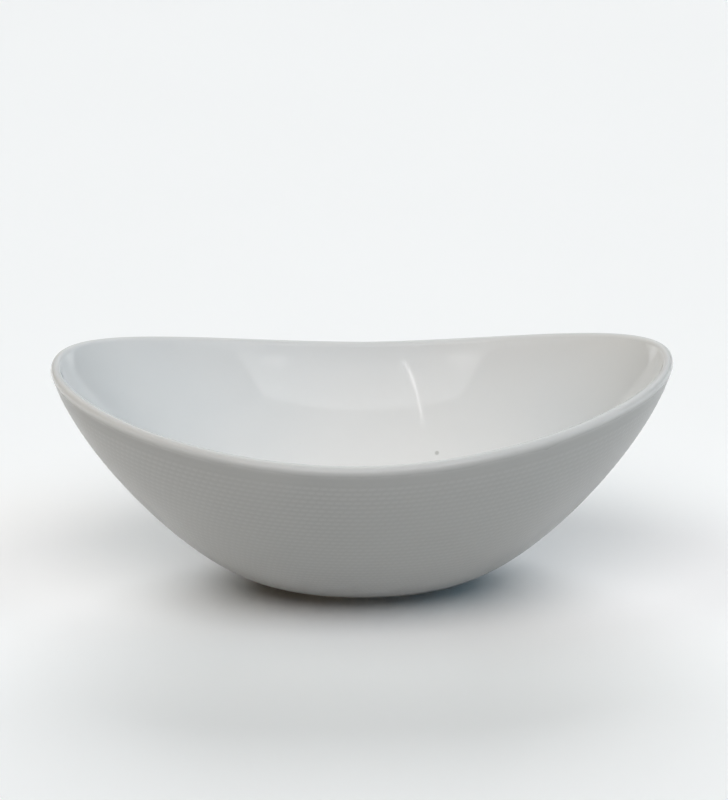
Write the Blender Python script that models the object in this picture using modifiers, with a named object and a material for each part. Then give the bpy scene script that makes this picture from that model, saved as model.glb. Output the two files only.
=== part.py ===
"""Porcelain serving bowl: an oval, boat-shaped bowl whose rim dips along both long sides.

Frame: the origin is the centre of the foot, on the surface that the bowl stands on.
+X runs along the length, +Y across the width, +Z up. Everything is in metres.

The whole bowl follows one outer surface. At each plan angle it leaves the oval foot level, swells outwards
and ends at the rim. Every layer of the wall is a surface at its own depth inside that outer surface.
"""

import bmesh
import bpy
import numpy as np
from mathutils import Matrix

# Driving dimensions
LENGTH = 0.300
WIDTH = 0.200
END_HEIGHT = 0.110
SIDE_HEIGHT = 0.0885
FOOT_LENGTH = 0.094
FOOT_WIDTH = 0.070
FOOT_HEIGHT = 0.003
FOOT_RING_WIDTH = 0.0055
FOOT_RING_INSET = 0.0006
FOOT_RING_CHAMFER = 0.0008
FLOOR_MARGIN = 0.003
WALL_THICKNESS = 0.0048
GLAZE_THICKNESS = 0.0005
LIP_HEIGHT = 0.004

# Clearance between pieces that touch
GAP = 0.0003

# Depth of the porcelain below the outer surface, and its thickness
COAT_DEPTH = GLAZE_THICKNESS + GAP
PORCELAIN_THICKNESS = WALL_THICKNESS - 2 * COAT_DEPTH

# Exponent of the rim's oval in plan (2 is an ellipse), and of the rise of the rim towards the ends
PLAN_POWER = 2.1
RISE_POWER = 1.8

# Handles of the Bezier profile from foot to rim, as shares of the way out and of the way up:
# (first handle out, second handle out, second handle up). The first handle lies level with the foot.
END_HANDLES = np.array([0.25, 0.87, 0.57])
SIDE_HANDLES = np.array([0.54, 1.00, 0.66])

# Mesh density
SEGMENTS = 72
WALL_ROWS = 10
ROW_CROWDING = 1.3
EDGE_ROW = 0.0015
LIP_ARC_STEPS = 6
PROFILE_SAMPLES = 400
DIFFERENCE = 1e-4

COLLECTION_NAME = "serving_bowl"
SHARP_ANGLE = np.radians(35)

GLOSS_GLAZE = ((0.86, 0.87, 0.87), 0.08)
SATIN_GLAZE = ((0.80, 0.80, 0.79), 0.35)
PORCELAIN = ((0.88, 0.87, 0.84), 0.55)
BARE_PORCELAIN = ((0.78, 0.75, 0.70), 0.80)


def signed_power(value, exponent):
    return np.sign(value) * np.abs(value) ** exponent


def plan_angles():
    return np.linspace(0, 2 * np.pi, SEGMENTS, endpoint=False)


def outer_point(angle, t):
    """Points of the outer surface at plan angles, with t running from 0 at the foot to 1 at the rim."""
    along = np.cos(angle)
    across = np.sin(angle)
    rim_x = LENGTH / 2 * signed_power(along, 2 / PLAN_POWER)
    rim_y = WIDTH / 2 * signed_power(across, 2 / PLAN_POWER)
    rise = np.abs(2 * rim_x / LENGTH) ** RISE_POWER
    rim_z = SIDE_HEIGHT + (END_HEIGHT - SIDE_HEIGHT) * rise
    foot_x = FOOT_LENGTH / 2 * along
    foot_y = FOOT_WIDTH / 2 * across
    handles = [side + (end - side) * along**2 for side, end in zip(SIDE_HANDLES, END_HANDLES)]
    near_foot = 3 * (1 - t) ** 2 * t
    near_rim = 3 * (1 - t) * t**2
    out = near_foot * handles[0] + near_rim * handles[1] + t**3
    up = near_rim * handles[2] + t**3
    x = foot_x + (rim_x - foot_x) * out
    y = foot_y + (rim_y - foot_y) * out
    z = FOOT_HEIGHT + (rim_z - FOOT_HEIGHT) * up
    return np.stack([x, y, z], axis=-1)


def unit(vectors):
    return vectors / np.linalg.norm(vectors, axis=-1, keepdims=True)


def surface_frame(angle, t):
    """The direction up the profile and the direction into the wall, at points of the outer surface."""
    up_profile = outer_point(angle, t + DIFFERENCE) - outer_point(angle, t - DIFFERENCE)
    around = outer_point(angle + DIFFERENCE, t) - outer_point(angle - DIFFERENCE, t)
    return unit(up_profile), unit(np.cross(up_profile, around))


def profile_lengths(angles):
    """For each plan angle, t values from foot to rim and the distance along the profile to each."""
    t = np.linspace(0, 1, PROFILE_SAMPLES)
    points = outer_point(angles[:, None], t[None, :])
    steps = np.linalg.norm(np.diff(points, axis=1), axis=2)
    lengths = np.concatenate([np.zeros((len(angles), 1)), np.cumsum(steps, axis=1)], axis=1)
    return t, lengths


def t_below_rim(angles, distance):
    """The t values that lie a distance down the profile from the rim, one for each plan angle."""
    t, lengths = profile_lengths(angles)
    return np.array([np.interp(row[-1] - distance, row, t) for row in lengths])


def wall_grid(depth):
    """Points of the wall at one depth, from the foot up to just under the lip: angles by rows."""
    angles = plan_angles()
    t, lengths = profile_lengths(angles)
    tops = lengths[:, -1:] - LIP_HEIGHT - GAP
    shares = np.linspace(0, 1, WALL_ROWS) ** ROW_CROWDING
    distances = np.concatenate([shares * (tops - EDGE_ROW), tops], axis=1)
    grid_t = np.array([np.interp(distance, row, t) for distance, row in zip(distances, lengths)])
    _, inward = surface_frame(angles[:, None], grid_t)
    return outer_point(angles[:, None], grid_t) + inward * depth


def wall_grid_with_margin(depth):
    """The same wall with a level margin in front of its first row, which runs in over the foot."""
    margin = foot_outline(FLOOR_MARGIN, FOOT_HEIGHT + depth)
    return np.concatenate([margin[:, None], wall_grid(depth)], axis=1)


def lip_sections():
    """A closed section of the lip at each plan angle: level bottom, short sides and a half-round top."""
    angles = plan_angles()
    radius = WALL_THICKNESS / 2
    t = t_below_rim(angles, radius)
    up_profile, inward = surface_frame(angles, t)
    centre = outer_point(angles, t) + inward * radius
    arc = [
        centre + radius * (up_profile * np.sin(turn) - inward * np.cos(turn))
        for turn in np.linspace(0, np.pi, LIP_ARC_STEPS + 1)
    ]
    t = t_below_rim(angles, LIP_HEIGHT)
    _, inward = surface_frame(angles, t)
    outer_foot = outer_point(angles, t)
    return np.stack([outer_foot, *arc, outer_foot + inward * WALL_THICKNESS], axis=1)


def foot_outline(inset, height):
    """The oval of the foot's outer edge moved inwards, at one height."""
    angles = plan_angles()
    half_length = FOOT_LENGTH / 2
    half_width = FOOT_WIDTH / 2
    outward = unit(np.stack([np.cos(angles) / half_length, np.sin(angles) / half_width], axis=1))
    x = half_length * np.cos(angles) - inset * outward[:, 0]
    y = half_width * np.sin(angles) - inset * outward[:, 1]
    return np.stack([x, y, np.full(SEGMENTS, height)], axis=1)


def foot_sections():
    """A closed section of the foot ring at each plan angle, chamfered where it meets the table."""
    top = FOOT_HEIGHT + COAT_DEPTH - GAP
    outer_inset = FOOT_RING_INSET
    inner_inset = FOOT_RING_INSET + FOOT_RING_WIDTH
    section = [
        (outer_inset + FOOT_RING_CHAMFER, 0),
        (outer_inset, FOOT_RING_CHAMFER),
        (outer_inset, top),
        (inner_inset, top),
        (inner_inset, FOOT_RING_CHAMFER),
        (inner_inset - FOOT_RING_CHAMFER, 0),
    ]
    return np.stack([foot_outline(inset, height) for inset, height in section], axis=1)


def loft_faces(bm, grid, closed_sections):
    """Joins the rows of points of neighbouring plan angles with quads, and returns the vertices."""
    vertices = [[bm.verts.new(point) for point in row] for row in grid]
    columns = len(grid[0])
    for index, row in enumerate(vertices):
        following = vertices[(index + 1) % len(vertices)]
        for column in range(columns if closed_sections else columns - 1):
            above = (column + 1) % columns
            bm.faces.new((row[column], following[column], following[above], row[above]))
    return vertices


def glazed_material(name, colour, roughness):
    material = bpy.data.materials.new(name)
    material.use_nodes = True
    shader = material.node_tree.nodes["Principled BSDF"]
    shader.inputs["Base Color"].default_value = (*colour, 1)
    shader.inputs["Roughness"].default_value = roughness
    shader.inputs["Metallic"].default_value = 0
    return material


def add_object(name, bm, finish, collection, root):
    """Turns a bmesh into a smooth-shaded object of the bowl, with a material of its own."""
    mesh = bpy.data.meshes.new(name)
    bm.to_mesh(mesh)
    bm.free()
    mesh.shade_smooth()
    mesh.set_sharp_from_angle(angle=SHARP_ANGLE)
    obj = bpy.data.objects.new(name, mesh)
    obj.data.materials.append(glazed_material(name, *finish))
    obj.parent = root
    collection.objects.link(obj)
    return obj


def add_thickness(obj, thickness):
    """Thickens an open surface, whose faces point away from the inside of the bowl, inwards."""
    solidify = obj.modifiers.new("Solidify", "SOLIDIFY")
    solidify.thickness = thickness
    solidify.offset = -1
    solidify.use_even_offset = True


def side_wall(collection, root):
    """The porcelain of the side, between the two glaze coats."""
    bm = bmesh.new()
    loft_faces(bm, wall_grid_with_margin(COAT_DEPTH), closed_sections=False)
    wall = add_object("side_wall", bm, PORCELAIN, collection, root)
    add_thickness(wall, PORCELAIN_THICKNESS)


def base_floor(collection, root):
    """The porcelain floor of the well, an oval plate whose underside closes the recess in the foot."""
    thickness = PORCELAIN_THICKNESS
    inset = FLOOR_MARGIN + 2 * GAP
    bm = bmesh.new()
    bmesh.ops.create_cone(bm, cap_ends=True, segments=SEGMENTS, radius1=1, radius2=1, depth=thickness)
    oval = Matrix.Diagonal((FOOT_LENGTH / 2 - inset, FOOT_WIDTH / 2 - inset, 1, 1))
    bmesh.ops.transform(bm, matrix=oval, verts=bm.verts)
    floor = add_object("base_floor", bm, PORCELAIN, collection, root)
    floor.location.z = FOOT_HEIGHT + COAT_DEPTH + thickness / 2


def foot_ring(collection, root):
    """The unglazed oval ring that the bowl stands on."""
    bm = bmesh.new()
    loft_faces(bm, foot_sections(), closed_sections=True)
    bmesh.ops.recalc_face_normals(bm, faces=bm.faces)
    add_object("foot_ring", bm, BARE_PORCELAIN, collection, root)


def rim_lip(collection, root):
    """The smooth rolled lip, the full thickness of the wall."""
    bm = bmesh.new()
    loft_faces(bm, lip_sections(), closed_sections=True)
    bmesh.ops.recalc_face_normals(bm, faces=bm.faces)
    add_object("rim_lip", bm, GLOSS_GLAZE, collection, root)


def outer_glaze(collection, root):
    """The satin glaze coat on the outside of the wall, from the foot to the lip."""
    bm = bmesh.new()
    loft_faces(bm, wall_grid(0), closed_sections=False)
    coat = add_object("outer_glaze", bm, SATIN_GLAZE, collection, root)
    add_thickness(coat, GLAZE_THICKNESS)


def inner_glaze(collection, root):
    """The gloss glaze coat over the whole inside: the side, and the floor closed to its centre."""
    depth = WALL_THICKNESS - GLAZE_THICKNESS
    bm = bmesh.new()
    rows = loft_faces(bm, wall_grid_with_margin(depth), closed_sections=False)
    centre = bm.verts.new((0, 0, FOOT_HEIGHT + depth))
    for index, row in enumerate(rows):
        following = rows[(index + 1) % SEGMENTS]
        bm.faces.new((centre, following[0], row[0]))
    coat = add_object("inner_glaze", bm, GLOSS_GLAZE, collection, root)
    add_thickness(coat, GLAZE_THICKNESS)


def clear_scene():
    for obj in list(bpy.data.objects):
        bpy.data.objects.remove(obj)


def main():
    clear_scene()
    collection = bpy.data.collections.new(COLLECTION_NAME)
    bpy.context.scene.collection.children.link(collection)
    root = bpy.data.objects.new(COLLECTION_NAME, None)
    collection.objects.link(root)
    for build in (foot_ring, base_floor, side_wall, rim_lip, inner_glaze, outer_glaze):
        build(collection, root)


main()
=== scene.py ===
import math

import bpy
import numpy as np
from mathutils import Matrix, Vector


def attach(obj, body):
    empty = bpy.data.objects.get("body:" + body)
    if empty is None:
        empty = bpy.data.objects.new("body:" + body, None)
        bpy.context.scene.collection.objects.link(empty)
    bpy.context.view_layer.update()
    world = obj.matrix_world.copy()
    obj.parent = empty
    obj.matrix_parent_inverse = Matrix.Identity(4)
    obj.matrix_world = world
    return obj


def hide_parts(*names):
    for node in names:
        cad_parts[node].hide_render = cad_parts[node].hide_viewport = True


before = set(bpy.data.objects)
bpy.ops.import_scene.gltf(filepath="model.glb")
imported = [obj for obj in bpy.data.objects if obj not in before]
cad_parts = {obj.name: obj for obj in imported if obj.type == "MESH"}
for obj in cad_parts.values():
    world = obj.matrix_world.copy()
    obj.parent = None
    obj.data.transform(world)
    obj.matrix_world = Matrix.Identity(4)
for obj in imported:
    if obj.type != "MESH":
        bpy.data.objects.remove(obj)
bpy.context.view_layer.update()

# The bowl's dimensions in metres, as its CAD solids have them
LENGTH = 0.300
WIDTH = 0.200
END_HEIGHT = 0.110
SIDE_HEIGHT = 0.0885
FOOT_LENGTH = 0.094
FOOT_WIDTH = 0.070
FOOT_HEIGHT = 0.003
FOOT_RING_WIDTH = 0.0055
FOOT_RING_INSET = 0.0006
WALL_THICKNESS = 0.0048
GLAZE_THICKNESS = 0.0005
LIP_HEIGHT = 0.004
PLAN_POWER = 2.1
RISE_POWER = 1.8
END_HANDLES = np.array([0.25, 0.87, 0.57])
SIDE_HANDLES = np.array([0.54, 1.00, 0.66])
FLOOR_TOP = FOOT_HEIGHT + WALL_THICKNESS
RECESS_HEIGHT = 0.0038

# Mesh density. A coat's hidden back needs enough rows to follow the wall's curve without cutting
# through the coat's own face, and they crowd towards the foot, where the curve is tightest
AROUND = 960
PROFILE_SAMPLES = 400
DIFFERENCE = 1e-4
INSIDE_ROWS = 52
FLOOR_RINGS = 10
BASE_RINGS = 15
HIDDEN_ROWS_INSIDE = 24
HIDDEN_ROWS_OUTSIDE = 10
HIDDEN_ROW_CROWDING = 1.25
LIP_ARC_STEPS = 18
LIP_SIDE_ROWS = 4

# The gloss coat inside is thinner than the CAD's, in shares of it
INSIDE_COAT_SHARE = 0.7

# The embossed pattern: level rows of short dashes, each row shifted by half a dash from the next
DASH_ROWS = 42
ROWS_PER_DASH = 2
COLUMNS_PER_DASH = 4
DASH_SHAPE = np.array([0.40, 0.90, 1.0, 0.90])
RELIEF = 0.00022
RELIEF_WANDER = 0.12
FADE_IN_SHARE = 0.35
FADE_OUT_SHARE = 0.04
SMOOTH_BAND = 0.0030
SMOOTH_ROWS = 3
PLAIN_FOOT_BAND = 0.0060
FOOT_BAND_ROWS = 4

# How far below the lip's top each glaze reaches its own look, measured along the surface. On the outside
# this fade is painted shade: light at the lip, darker down the wall
BLEND_OUTSIDE = 0.0072
BLEND_INSIDE = 0.0045

# How much further it is over the lip's arc than straight up to the rim
LIP_ARC_EXCESS = (np.pi / 2 - 1) * WALL_THICKNESS / 2

angles = np.linspace(0, 2 * np.pi, AROUND, endpoint=False)


# ---------------------------------------------------------------- the bowl's surfaces


def signed_power(value, exponent):
    return np.sign(value) * np.abs(value) ** exponent


def unit(vectors):
    return vectors / np.linalg.norm(vectors, axis=-1, keepdims=True)


def smoothstep(value):
    value = np.clip(value, 0, 1)
    return value * value * (3 - 2 * value)


def outer_point(angle, t):
    """Points of the outer surface at plan angles, with t running from 0 at the foot to 1 at the rim."""
    along = np.cos(angle)
    across = np.sin(angle)
    rim_x = LENGTH / 2 * signed_power(along, 2 / PLAN_POWER)
    rim_y = WIDTH / 2 * signed_power(across, 2 / PLAN_POWER)
    rise = np.abs(2 * rim_x / LENGTH) ** RISE_POWER
    rim_z = SIDE_HEIGHT + (END_HEIGHT - SIDE_HEIGHT) * rise
    foot_x = FOOT_LENGTH / 2 * along
    foot_y = FOOT_WIDTH / 2 * across
    handles = [side + (end - side) * along**2 for side, end in zip(SIDE_HANDLES, END_HANDLES)]
    near_foot = 3 * (1 - t) ** 2 * t
    near_rim = 3 * (1 - t) * t**2
    out = near_foot * handles[0] + near_rim * handles[1] + t**3
    up = near_rim * handles[2] + t**3
    x = foot_x + (rim_x - foot_x) * out
    y = foot_y + (rim_y - foot_y) * out
    z = FOOT_HEIGHT + (rim_z - FOOT_HEIGHT) * up
    return np.stack([x, y, z], axis=-1)


def surface_frame(t):
    """At each plan angle: the direction up the profile, and the direction into the wall."""
    angle = angles.reshape((-1,) + (1,) * (t.ndim - 1))
    up_profile = outer_point(angle, t + DIFFERENCE) - outer_point(angle, t - DIFFERENCE)
    around = outer_point(angle + DIFFERENCE, t) - outer_point(angle - DIFFERENCE, t)
    return unit(up_profile), unit(np.cross(up_profile, around))


profile_t = np.linspace(0, 1, PROFILE_SAMPLES)
profile_points = outer_point(angles[:, None], profile_t[None, :])
profile_steps = np.linalg.norm(np.diff(profile_points, axis=1), axis=2)
profile_lengths = np.concatenate([np.zeros((AROUND, 1)), np.cumsum(profile_steps, axis=1)], axis=1)
wall_lengths = profile_lengths[:, -1:] - LIP_HEIGHT


def t_at(distances):
    """t at distances up the profile from the foot: an array of plan angles by rows."""
    return np.array([np.interp(row, table, profile_t) for row, table in zip(distances, profile_lengths)])


def wall_layer(distances, depth):
    """Points at one depth in the wall, and the outward normals there."""
    t = t_at(distances)
    _, inward = surface_frame(t)
    return outer_point(angles[:, None], t) + inward * depth, -inward


def foot_outline(inset, height):
    """The oval of the foot's outer edge moved inwards, at one height."""
    half_length = FOOT_LENGTH / 2
    half_width = FOOT_WIDTH / 2
    outward = unit(np.stack([np.cos(angles) / half_length, np.sin(angles) / half_width], axis=1))
    x = half_length * np.cos(angles) - inset * outward[:, 0]
    y = half_width * np.sin(angles) - inset * outward[:, 1]
    return np.stack([x, y, np.full(AROUND, height)], axis=1)


def level_rings(outline, shares):
    """An oval shrunk towards its centre, at its own height: plan angles by rings."""
    scale = np.stack([shares, shares, np.ones_like(shares)], axis=1)
    return outline[:, None] * scale[None]


# ---------------------------------------------------------------- meshes


def grid_normals(points):
    """Normals of a grid of plan angles by rows, which closes on itself around the bowl."""
    around = np.roll(points, -1, axis=0) - np.roll(points, 1, axis=0)
    up_profile = np.gradient(points, axis=1)
    return unit(np.cross(around, up_profile))


def add_piece(name, sections, normals, material, nodes, centres=()):
    """A closed piece from one closed section at each plan angle, with given normals.

    centres holds (column, point, normal) for each column of the section that is closed to a point.
    A section then runs from one centre to the other, and its two ends aren't joined."""
    columns = sections.shape[1]
    vertices = sections.reshape(-1, 3)
    vertex_normals = normals.reshape(-1, 3)
    index = np.arange(AROUND * columns).reshape(AROUND, columns)
    following = np.roll(index, -1, axis=0)
    last = columns if not centres else columns - 1
    faces = []
    for column in range(last):
        above = (column + 1) % columns
        quads = [index[:, column], following[:, column], following[:, above], index[:, above]]
        faces.append(np.stack(quads, axis=1))
    faces = np.concatenate(faces).tolist()
    for column, point, normal in centres:
        vertices = np.concatenate([vertices, [point]])
        vertex_normals = np.concatenate([vertex_normals, [normal]])
        centre = np.full(AROUND, len(vertices) - 1)
        ring = [centre, following[:, column], index[:, column]]
        if column:
            ring.reverse()
        faces += np.stack(ring, axis=1).tolist()
    mesh = bpy.data.meshes.new(name)
    mesh.from_pydata(vertices.tolist(), [], faces)
    mesh.shade_smooth()
    mesh.normals_split_custom_set_from_vertices(vertex_normals.tolist())
    mesh.materials.append(material)
    piece = bpy.data.objects.new(name, mesh)
    bpy.context.scene.collection.objects.link(piece)
    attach(piece, "root")
    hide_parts(*nodes)
    return piece


def add_attribute(piece, name, values):
    """A number at each vertex of a piece, for its material."""
    attribute = piece.data.attributes.new(name, "FLOAT", "POINT")
    numbers = np.zeros(len(piece.data.vertices), dtype=np.float32)
    numbers[: values.size] = values.reshape(-1)
    attribute.data.foreach_set("value", numbers)


def outside_blend(below_lip_top):
    """0 on the lip's top, and 1 where the satin glaze is alone on the outside. The fade carries painted
    shade, light at the lip and darker below.
    """
    return smoothstep(below_lip_top / BLEND_OUTSIDE)


def inside_blend(below_lip_top):
    """1 on the lip's top, and 0 where the inside glaze has its own colour."""
    return 1 - smoothstep(below_lip_top / BLEND_INSIDE)


# ---------------------------------------------------------------- materials


# Base colours: the lip, and the satin glaze between and on its dashes. The satin glaze's grey is painted
# shade of the outside wall; its crests are lighter than its valleys
LIP_COLOUR = (0.795, 0.795, 0.780)
LIP_COLOUR_PALE = (0.815, 0.810, 0.795)
VALLEY_PAINTED_SHADE = (0.380, 0.379, 0.369)
VALLEY_PAINTED_SHADE_PALE = (0.400, 0.399, 0.388)
CREST_PAINTED_SHADE = (0.434, 0.433, 0.422)

# The one dark speck, low inside the bowl on the far side
SPECK_PLACE = (0.0356, 0.0717, 0.0372)
SPECK_SIZE = 0.0007
SPECK_COLOUR = (0.60, 0.60, 0.58)

# How much rougher the satin glaze is than the gloss
SATIN_EXTRA_ROUGHNESS = 0.24


def new_material(name, roughness):
    material = bpy.data.materials.new(name)
    material.use_nodes = True
    tree = material.node_tree
    shader = tree.nodes["Principled BSDF"]
    shader.inputs["Roughness"].default_value = roughness
    shader.inputs["IOR"].default_value = 1.5
    return material, tree, shader


def add_noise(tree, scale, detail=2.0, roughness=0.5):
    """Noise over the bowl, in its own coordinates, which are metres. Returns the output that varies."""
    place = tree.nodes.new("ShaderNodeTexCoord")
    noise = tree.nodes.new("ShaderNodeTexNoise")
    noise.inputs["Scale"].default_value = scale
    noise.inputs["Detail"].default_value = detail
    noise.inputs["Roughness"].default_value = roughness
    tree.links.new(place.outputs["Object"], noise.inputs["Vector"])
    return noise.outputs["Fac"]


def add_range(tree, value, low, high, to_low, to_high):
    """Maps a value from one range to another, held at its ends."""
    node = tree.nodes.new("ShaderNodeMapRange")
    tree.links.new(value, node.inputs["Value"])
    for name, number in zip(("From Min", "From Max", "To Min", "To Max"), (low, high, to_low, to_high)):
        node.inputs[name].default_value = number
    return node.outputs["Result"]


def add_mix(tree, factor, colour_a, colour_b):
    """Mixes two colours, each a plain colour or another node's output."""
    node = tree.nodes.new("ShaderNodeMix")
    node.data_type = "RGBA"
    tree.links.new(factor, node.inputs["Factor"])
    for name, colour in (("A", colour_a), ("B", colour_b)):
        socket = next(s for s in node.inputs if s.name == name and s.type == "RGBA")
        if isinstance(colour, tuple):
            socket.default_value = (*colour, 1)
        else:
            tree.links.new(colour, socket)
    return next(s for s in node.outputs if s.type == "RGBA")


def add_bump(tree, height, distance, strength, below=None):
    node = tree.nodes.new("ShaderNodeBump")
    node.inputs["Distance"].default_value = distance
    node.inputs["Strength"].default_value = strength
    tree.links.new(height, node.inputs["Height"])
    if below is not None:
        tree.links.new(below, node.inputs["Normal"])
    return node.outputs["Normal"]


def add_sum(tree, first, second):
    node = tree.nodes.new("ShaderNodeMath")
    node.operation = "ADD"
    tree.links.new(first, node.inputs[0])
    tree.links.new(second, node.inputs[1])
    return node.outputs["Value"]


def add_spot(tree, centre, radius, softness):
    """1 within a radius of a point of the bowl, fading to 0 outside it."""
    place = tree.nodes.new("ShaderNodeTexCoord")
    distance = tree.nodes.new("ShaderNodeVectorMath")
    distance.operation = "DISTANCE"
    tree.links.new(place.outputs["Object"], distance.inputs[0])
    distance.inputs[1].default_value = centre
    return add_range(tree, distance.outputs["Value"], radius, radius + softness, 1, 0)


def add_specks(tree, scale, size):
    """A sparse scatter of pin-prick specks, 1 in each speck."""
    place = tree.nodes.new("ShaderNodeTexCoord")
    cells = tree.nodes.new("ShaderNodeTexVoronoi")
    cells.inputs["Scale"].default_value = scale
    tree.links.new(place.outputs["Object"], cells.inputs["Vector"])
    return add_range(tree, cells.outputs["Distance"], size * scale, 2 * size * scale, 1, 0)


def add_attribute_value(tree, name):
    node = tree.nodes.new("ShaderNodeAttribute")
    node.attribute_name = name
    return node.outputs["Fac"]


def add_glaze_roughness(tree, shader, to_satin_and_shade):
    """A slightly hazed gloss, which roughens to satin as to_satin_and_shade goes from 0 to 1."""
    haze = add_range(tree, add_noise(tree, 60, detail=4), 0.3, 0.7, 0.035, 0.08)
    rough = add_sum(tree, haze, add_range(tree, to_satin_and_shade, 0, 1, 0, SATIN_EXTRA_ROUGHNESS))
    tree.links.new(rough, shader.inputs["Roughness"])


def gloss_glaze():
    """White gloss glaze: clouded a little, a little darker over the lip, with one dark speck."""
    material, tree, shader = new_material("gloss_white_glaze", 0.07)
    clouds = add_range(tree, add_noise(tree, 14), 0.35, 0.65, 0, 1)
    colour = add_mix(tree, clouds, (0.835, 0.84, 0.835), (0.855, 0.855, 0.845))
    lip_tone = add_mix(tree, clouds, LIP_COLOUR, LIP_COLOUR_PALE)
    colour = add_mix(tree, add_attribute_value(tree, "edge"), colour, lip_tone)
    # Painted shade: down the lip's outer side the colour darkens from the lip's to the satin glaze's grey
    satin_and_shade = add_mix(tree, clouds, VALLEY_PAINTED_SHADE, VALLEY_PAINTED_SHADE_PALE)
    to_satin_and_shade = add_attribute_value(tree, "satin_and_shade")
    colour = add_mix(tree, to_satin_and_shade, colour, satin_and_shade)
    colour = add_mix(tree, add_specks(tree, 55, 0.00012), colour, (0.60, 0.58, 0.54))
    colour = add_mix(tree, add_spot(tree, SPECK_PLACE, SPECK_SIZE, SPECK_SIZE), colour, SPECK_COLOUR)
    tree.links.new(colour, shader.inputs["Base Color"])
    add_glaze_roughness(tree, shader, to_satin_and_shade)
    ripples = add_bump(tree, add_noise(tree, 45, detail=1), 0.0004, 0.12)
    peel = add_bump(tree, add_noise(tree, 420, detail=2), 0.00005, 0.25, below=ripples)
    tree.links.new(peel, shader.inputs["Normal"])
    return material


def shaded_satin_glaze():
    """Satin glaze over the embossed dashes: finely pitted, lighter on the crests than in the valleys, and
    coloured grey all over as painted shade of the outside wall.
    """
    material, tree, shader = new_material("satin_glaze_painted_shade", 0.34)
    clouds = add_range(tree, add_noise(tree, 14), 0.35, 0.65, 0, 1)
    # Painted shade: the outside's white glaze is coloured grey all over
    colour = add_mix(tree, clouds, VALLEY_PAINTED_SHADE, VALLEY_PAINTED_SHADE_PALE)
    colour = add_mix(tree, add_attribute_value(tree, "relief"), colour, CREST_PAINTED_SHADE)
    gloss = add_mix(tree, clouds, LIP_COLOUR, LIP_COLOUR_PALE)
    to_satin_and_shade = add_attribute_value(tree, "satin_and_shade")
    # Painted shade: near the top of the outside the colour lightens to the lip's, and darkens down the wall
    colour = add_mix(tree, to_satin_and_shade, gloss, colour)
    colour = add_mix(tree, add_specks(tree, 70, 0.00010), colour, (0.50, 0.48, 0.45))
    tree.links.new(colour, shader.inputs["Base Color"])
    add_glaze_roughness(tree, shader, to_satin_and_shade)
    waves = add_bump(tree, add_noise(tree, 40, detail=1), 0.0003, 0.12)
    pits = add_bump(tree, add_noise(tree, 1600, detail=3), 0.00004, 0.35, below=waves)
    tree.links.new(pits, shader.inputs["Normal"])
    return material


def bare_porcelain(name, ground_marks):
    """Unglazed porcelain: matt and granular, with grey marks where it was ground and has rubbed."""
    material, tree, shader = new_material(name, 0.8)
    grains = add_noise(tree, 900, detail=5, roughness=0.7)
    granular = add_range(tree, grains, 0.35, 0.65, 0, 1)
    colour = add_mix(tree, granular, (0.62, 0.60, 0.56), (0.70, 0.68, 0.64))
    if ground_marks:
        rubbed = add_range(tree, add_noise(tree, 130, detail=4), 0.52, 0.70, 0, 0.6)
        colour = add_mix(tree, rubbed, colour, (0.45, 0.44, 0.42))
    tree.links.new(colour, shader.inputs["Base Color"])
    rough = add_range(tree, add_noise(tree, 200, detail=3), 0.3, 0.7, 0.70, 0.90)
    tree.links.new(rough, shader.inputs["Roughness"])
    tree.links.new(add_bump(tree, grains, 0.0001, 0.5), shader.inputs["Normal"])
    return material


def floor_material():
    material, tree, shader = new_material("pale_floor", 0.7)
    shader.inputs["Specular IOR Level"].default_value = 0.1
    tone = add_range(tree, add_noise(tree, 3), 0.3, 0.7, 0, 1)
    colour = add_mix(tree, tone, (0.95, 0.95, 0.945), (0.96, 0.96, 0.955))
    tree.links.new(colour, shader.inputs["Base Color"])
    return material


# ---------------------------------------------------------------- pieces


def glazed_inside(material):
    """The gloss coat over the inside, from the centre of the floor up to the lip."""
    shares = np.linspace(0, 1, INSIDE_ROWS + 1)
    ring_shares = np.linspace(0, 1, FLOOR_RINGS + 1)[1:-1]
    hidden_shares = np.linspace(0, 1, HIDDEN_ROWS_INSIDE + 1) ** HIDDEN_ROW_CROWDING
    wall, outward = wall_layer(shares * wall_lengths, WALL_THICKNESS)
    floor = level_rings(foot_outline(0, FLOOR_TOP), ring_shares)
    back_depth = WALL_THICKNESS - GLAZE_THICKNESS * INSIDE_COAT_SHARE
    back, back_outward = wall_layer(hidden_shares * wall_lengths, back_depth)
    back_floor = level_rings(foot_outline(0, FOOT_HEIGHT + back_depth), ring_shares)
    up = np.broadcast_to([0.0, 0.0, 1.0], floor.shape)
    sections = np.concatenate([back_floor, back, wall[:, ::-1], floor[:, ::-1]], axis=1)
    normals = np.concatenate([-up, back_outward, -outward[:, ::-1], up], axis=1)
    last = sections.shape[1] - 1
    centres = (
        (0, (0, 0, FOOT_HEIGHT + back_depth), (0, 0, -1)),
        (last, (0, 0, FLOOR_TOP), (0, 0, 1)),
    )
    piece = add_piece(
        "glazed_inside", sections, normals, material, ["inner_glaze"], centres
    )
    edge = np.zeros(sections.shape[:2])
    first = back_floor.shape[1] + back.shape[1]
    below = profile_lengths[:, -1:] - shares[::-1] * wall_lengths + LIP_ARC_EXCESS
    edge[:, first : first + wall.shape[1]] = inside_blend(below)
    add_attribute(piece, "edge", edge)


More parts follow.
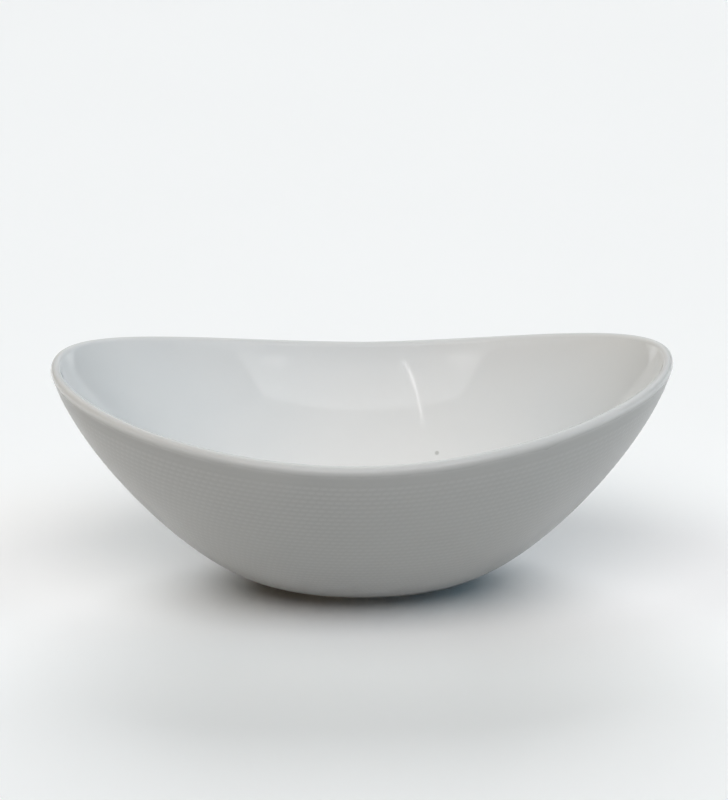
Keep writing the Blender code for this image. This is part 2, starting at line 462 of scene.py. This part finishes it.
def rolled_lip(material):
    """The smooth lip: short sides that carry on from both faces of the wall, and a half-round top."""
    radius = WALL_THICKNESS / 2
    rim = profile_lengths[:, -1:]
    side_distances = rim + np.linspace(-LIP_HEIGHT, -radius, LIP_SIDE_ROWS)[None]
    outer_side, outward = wall_layer(side_distances, 0)
    inner_side, _ = wall_layer(side_distances, WALL_THICKNESS)
    up_profile, inward = surface_frame(t_at(rim - radius)[:, 0])
    turns = np.linspace(0, np.pi, LIP_ARC_STEPS + 1)[1:-1]
    spokes = np.stack([up_profile * np.sin(turn) - inward * np.cos(turn) for turn in turns], axis=1)
    centre = outer_side[:, -1] + inward * radius
    arc = centre[:, None] + radius * spokes
    sections = np.concatenate([outer_side, arc, inner_side[:, ::-1]], axis=1)
    normals = np.concatenate([outward, spokes, -outward[:, ::-1]], axis=1)
    piece = add_piece("rolled_lip", sections, normals, material, ["rim_lip"])
    side_below = (rim - side_distances)[0] - radius + radius * np.pi / 2
    arc_below = radius * (np.pi / 2 - turns)
    below = np.concatenate([side_below, arc_below, -side_below[::-1]])
    add_attribute(piece, "edge", np.tile(inside_blend(-np.minimum(below, 0)), (AROUND, 1)))
    # This number also carries painted shade: the lip's outer side darkens towards the satin glaze's grey
    add_attribute(piece, "satin_and_shade", np.tile(outside_blend(np.maximum(below, 0)), (AROUND, 1)))


def dash_heights():
    """The height of the embossed pattern on its grid, from 0 in the valleys to 1 on the crests."""
    rows = np.arange(DASH_ROWS * ROWS_PER_DASH + 1)
    across = (1 - np.cos(2 * np.pi * rows / ROWS_PER_DASH)) / 2
    dash_row = rows // ROWS_PER_DASH
    columns = np.arange(AROUND)[:, None] + (dash_row % 2)[None] * (COLUMNS_PER_DASH // 2)
    along = DASH_SHAPE[columns % COLUMNS_PER_DASH]
    height = along * across[None] / across.max()
    wander = np.sin(3 * angles + 1.0)[:, None] * np.sin(rows / 9.0)[None]
    wander = wander + np.sin(7 * angles + 2.3)[:, None] * np.sin(rows / 5.0 + 1.7)[None]
    share = rows / rows[-1]
    fade = smoothstep(share / FADE_IN_SHARE) * smoothstep((1 - share) / FADE_OUT_SHARE)
    return height * (1 + RELIEF_WANDER * wander) * fade[None]


def embossed_outside(material):
    """The satin coat on the outside, with the embossed dashes raised from it."""
    pattern_start = PLAIN_FOOT_BAND
    pattern_end = wall_lengths - SMOOTH_BAND
    foot_rows = np.linspace(0, pattern_start, FOOT_BAND_ROWS + 1)[:-1]
    foot_band = np.broadcast_to(foot_rows, (AROUND, FOOT_BAND_ROWS))
    pattern_shares = np.linspace(0, 1, DASH_ROWS * ROWS_PER_DASH + 1)
    pattern = pattern_start + pattern_shares * (pattern_end - pattern_start)
    smooth_shares = np.linspace(0, 1, SMOOTH_ROWS + 1)[1:]
    smooth = pattern_end + smooth_shares * (wall_lengths - pattern_end)
    distances = np.concatenate([foot_band, pattern, smooth], axis=1)
    base, outward = wall_layer(distances, 0)
    height = np.zeros(base.shape[:2])
    height[:, FOOT_BAND_ROWS : FOOT_BAND_ROWS + pattern.shape[1]] = dash_heights()
    face = base + outward * (height * RELIEF)[:, :, None]
    normals = grid_normals(face)
    normals[:, [0, -1]] = outward[:, [0, -1]]
    hidden_shares = np.linspace(0, 1, HIDDEN_ROWS_OUTSIDE + 1) ** HIDDEN_ROW_CROWDING
    back, back_outward = wall_layer(hidden_shares * wall_lengths, GLAZE_THICKNESS)
    sections = np.concatenate([face, back[:, ::-1]], axis=1)
    normals = np.concatenate([normals, -back_outward[:, ::-1]], axis=1)
    piece = add_piece(
        "embossed_outside", sections, normals, material, ["outer_glaze"]
    )
    hidden = np.zeros(back.shape[:2])
    below = profile_lengths[:, -1:] - distances + LIP_ARC_EXCESS
    add_attribute(piece, "relief", np.concatenate([height, hidden], axis=1))
    # This number also carries painted shade: the top of the outside is lighter, darkening down to the satin
    # glaze's grey
    add_attribute(piece, "satin_and_shade", np.concatenate([outside_blend(below), hidden + 1], axis=1))


def rounded_corner(start, corner, end, steps):
    """Points of a section from start to end that round a corner, as (inset, height) pairs."""
    shares = np.linspace(0, 1, steps)[:, None]
    start, corner, end = (np.array(point) for point in (start, corner, end))
    return (1 - shares) ** 2 * start + 2 * (1 - shares) * shares * corner + shares**2 * end


def ground_foot(material):
    """The unglazed foot ring: hollowed in under the glaze, its edges rounded and its face ground flat."""
    outer = FOOT_RING_INSET
    inner = FOOT_RING_INSET + FOOT_RING_WIDTH
    glaze_edge = FOOT_HEIGHT + GLAZE_THICKNESS
    ease = 0.0011
    section = np.concatenate([
        rounded_corner((inner - 0.0008, glaze_edge), (inner, glaze_edge), (inner, 0.0024), 5),
        rounded_corner((inner, ease), (inner, 0), (inner - ease, 0), 8),
        rounded_corner((outer + ease, 0), (outer, 0), (outer, ease), 8),
        rounded_corner((outer, 0.0020), (outer, FOOT_HEIGHT), (0.0001, FOOT_HEIGHT + 0.0001), 6),
        rounded_corner((0.0001, glaze_edge - 0.0001), (0.0001, glaze_edge), (outer, glaze_edge), 4),
    ])
    sections = np.stack([foot_outline(inset, height) for inset, height in section], axis=1)
    after = np.roll(sections, -1, axis=1) - np.roll(sections, 1, axis=1)
    around = np.roll(sections, -1, axis=0) - np.roll(sections, 1, axis=0)
    normals = unit(np.cross(around, after))
    add_piece("ground_foot", sections, normals, material, ["foot_ring"])


def recessed_base(material):
    """The porcelain floor: seen from below as a shallow dome, with a fillet inside the foot ring."""
    inner = FOOT_RING_INSET + FOOT_RING_WIDTH
    fillet = 0.0016
    dome = 0.0005
    edge_inset = 0.0036
    top = FLOOR_TOP - GLAZE_THICKNESS - 0.0003
    turn = rounded_corner((inner + fillet, RECESS_HEIGHT), (inner, RECESS_HEIGHT), (inner, 0.0024), 8)
    edge = [(inner - 0.0002, RECESS_HEIGHT - 0.0002), (edge_inset, RECESS_HEIGHT), (edge_inset, top)]
    rim = np.stack([foot_outline(inset, height) for inset, height in [*turn, *edge]], axis=1)
    shares = np.linspace(0, 1, BASE_RINGS + 1)[1:-1]
    under = level_rings(rim[:, 0], shares)
    under[:, :, 2] += dome * (1 - shares[None] ** 2)
    upper = level_rings(rim[:, -1], shares[::-1])
    sections = np.concatenate([under, rim, upper], axis=1)
    after = np.gradient(sections, axis=1)
    around = np.roll(sections, -1, axis=0) - np.roll(sections, 1, axis=0)
    normals = unit(np.cross(around, after))
    last = sections.shape[1] - 1
    centres = ((0, (0, 0, RECESS_HEIGHT + dome), (0, 0, -1)), (last, (0, 0, top), (0, 0, 1)))
    add_piece("recessed_base", sections, normals, material, ["base_floor"], centres)


# ---------------------------------------------------------------- stage, light and camera

CAMERA_DISTANCE = 1.574
CAMERA_ELEVATION = math.radians(19.26)
CAMERA_AZIMUTH = math.radians(1.60)
CAMERA_TILT = math.radians(1.350)
CAMERA_PAN = math.radians(0.033)
CAMERA_ROLL = math.radians(0.94)
CAMERA_LENS = 145.5
CAMERA_TARGET = Vector((0, 0, 0.05))
FLOOR_HALF = 8.0


def add_floor():
    mesh = bpy.data.meshes.new("floor")
    corners = [(-1, -1), (1, -1), (1, 1), (-1, 1)]
    vertices = [(x * FLOOR_HALF, y * FLOOR_HALF, 0) for x, y in corners]
    mesh.from_pydata(vertices, [], [(0, 1, 2, 3)])
    mesh.materials.append(floor_material())
    floor = bpy.data.objects.new("floor", mesh)
    bpy.context.scene.collection.objects.link(floor)


def add_soft_light(name, toward, width, power, colour):
    """A broad soft light from far off.

    toward points at it from the bowl, and width is its angle in degrees. It isn't mirrored in the glaze."""
    light = bpy.data.lights.new(name, "SUN")
    light.energy = power
    light.angle = math.radians(width)
    light.color = colour
    lamp = bpy.data.objects.new(name, light)
    lamp.rotation_euler = Vector(toward).to_track_quat("Z", "Y").to_euler()
    lamp.visible_glossy = False
    bpy.context.scene.collection.objects.link(lamp)


def add_panel(name, start, end, width, power):
    """A panel light along the line from start to end, facing the bowl.

    The glaze mirrors it, and it adds no other light."""
    start, end = Vector(start), Vector(end)
    light = bpy.data.lights.new(name, "AREA")
    light.shape = "RECTANGLE"
    light.size = width
    light.size_y = (end - start).length
    light.energy = power
    lamp = bpy.data.objects.new(name, light)
    middle = (start + end) / 2
    back = (middle - CAMERA_TARGET).normalized()
    along = (end - start).normalized()
    across = along.cross(back).normalized()
    facing = across.cross(along)
    lamp.matrix_world = Matrix.Translation(middle) @ Matrix((across, along, facing)).transposed().to_4x4()
    lamp.visible_diffuse = False
    bpy.context.scene.collection.objects.link(lamp)


def add_lights():
    add_soft_light("front_ceiling", (0, -0.55, 0.85), 50, 1.53, (1.0, 0.96, 0.95))
    add_soft_light("back_window", (0, 0.9, 0.42), 40, 2.44, (0.96, 0.97, 1.0))
    add_soft_light("left_ceiling", (-0.6, 0, 0.8), 40, 0.52, (0.87, 1.0, 1.0))
    add_soft_light("right_ceiling", (0.6, 0, 0.8), 40, 0.33, (1.0, 0.98, 0.89))
    add_soft_light("right_box", (0.9, -0.2, 0.4), 40, 0.47, (0.37, 0.73, 1.0))
    add_soft_light("left_lamp", (-1.0, 0, 0.03), 20, 0.50, (1.0, 0.72, 0.42))
    add_soft_light("right_lamp", (1.0, 0, 0.03), 20, 0.33, (1.0, 0.80, 0.66))
    add_panel("tube", (-0.165, -1.0, 0.13), (-0.42, -1.0, 0.913), 0.007, 0.15)
    add_panel("left_pane", (0.33, -1.0, 0.05), (0.45, -1.0, 0.28), 0.13, 0.11)
    add_panel("right_pane", (-0.42, -1.0, 0.05), (-0.58, -1.0, 0.32), 0.13, 0.12)
    add_panel("front_wall", (0, -1.2, 0.02), (0, -1.2, 0.82), 1.6, 4.6)


def add_camera():
    camera = bpy.data.cameras.new("camera")
    camera.sensor_fit = "VERTICAL"
    camera.sensor_height = 36
    camera.lens = CAMERA_LENS
    eye = bpy.data.objects.new("camera", camera)
    level = CAMERA_DISTANCE * math.cos(CAMERA_ELEVATION)
    offset = Vector((0, -level, CAMERA_DISTANCE * math.sin(CAMERA_ELEVATION)))
    eye.location = CAMERA_TARGET + Matrix.Rotation(CAMERA_AZIMUTH, 3, "Z") @ offset
    look = (CAMERA_TARGET - eye.location).to_track_quat("-Z", "Y").to_matrix()
    for turn, axis in ((CAMERA_TILT, "X"), (-CAMERA_PAN, "Y"), (-CAMERA_ROLL, "Z")):
        look = look @ Matrix.Rotation(turn, 3, axis)
    eye.rotation_euler = look.to_euler()
    bpy.context.scene.collection.objects.link(eye)
    bpy.context.scene.camera = eye


gloss = gloss_glaze()
glazed_inside(gloss)
rolled_lip(gloss)
embossed_outside(shaded_satin_glaze())
ground_foot(bare_porcelain("ground_porcelain", ground_marks=True))
recessed_base(bare_porcelain("fired_porcelain", ground_marks=False))
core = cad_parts["side_wall"]
core.data.materials.clear()
core.data.materials.append(bare_porcelain("wall_porcelain", ground_marks=False))

add_floor()
add_lights()
add_camera()
bpy.context.scene.view_settings.view_transform = "Standard"
